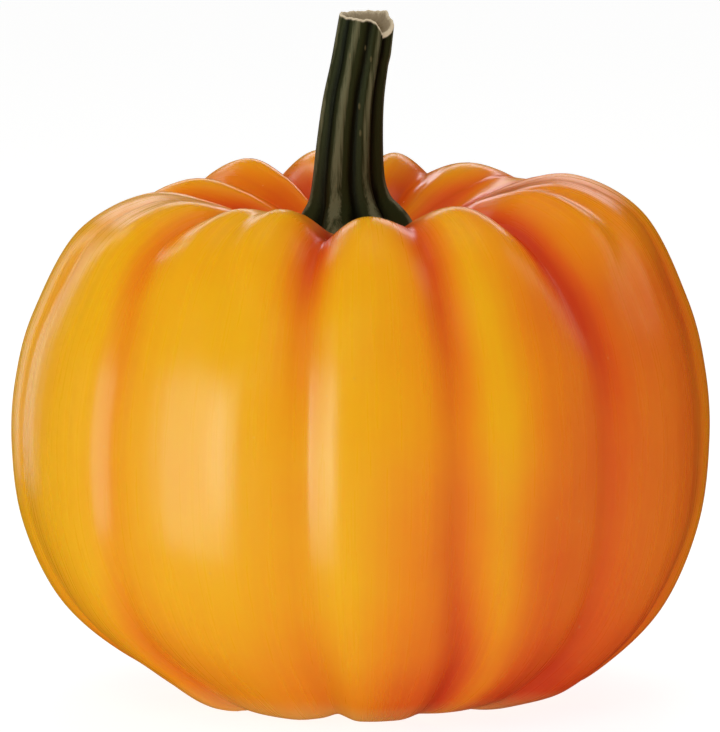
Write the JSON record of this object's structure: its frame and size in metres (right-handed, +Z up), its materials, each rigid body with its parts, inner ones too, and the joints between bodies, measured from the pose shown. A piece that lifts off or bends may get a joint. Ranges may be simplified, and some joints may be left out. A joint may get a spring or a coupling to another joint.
{
  "type": "pumpkin",
  "caption": "Round ribbed orange pumpkin with a sunken crown and a dark ridged stem, resting on its flattened underside.",
  "frame": {"origin": "centre of the footprint, on the surface the pumpkin stands on", "axes": "+Z up along the fruit's core towards the stem, -Y towards the front, +X to the right of the front"},
  "size_m": [0.2592, 0.2588, 0.2576],
  "materials": {
    "rind": "satin",
    "stem_bark": "satin"
  },
  "bodies": {
    "root": {"pumpkin_fruit": "rind", "stem": "stem_bark"}
  },
  "joints": []
}
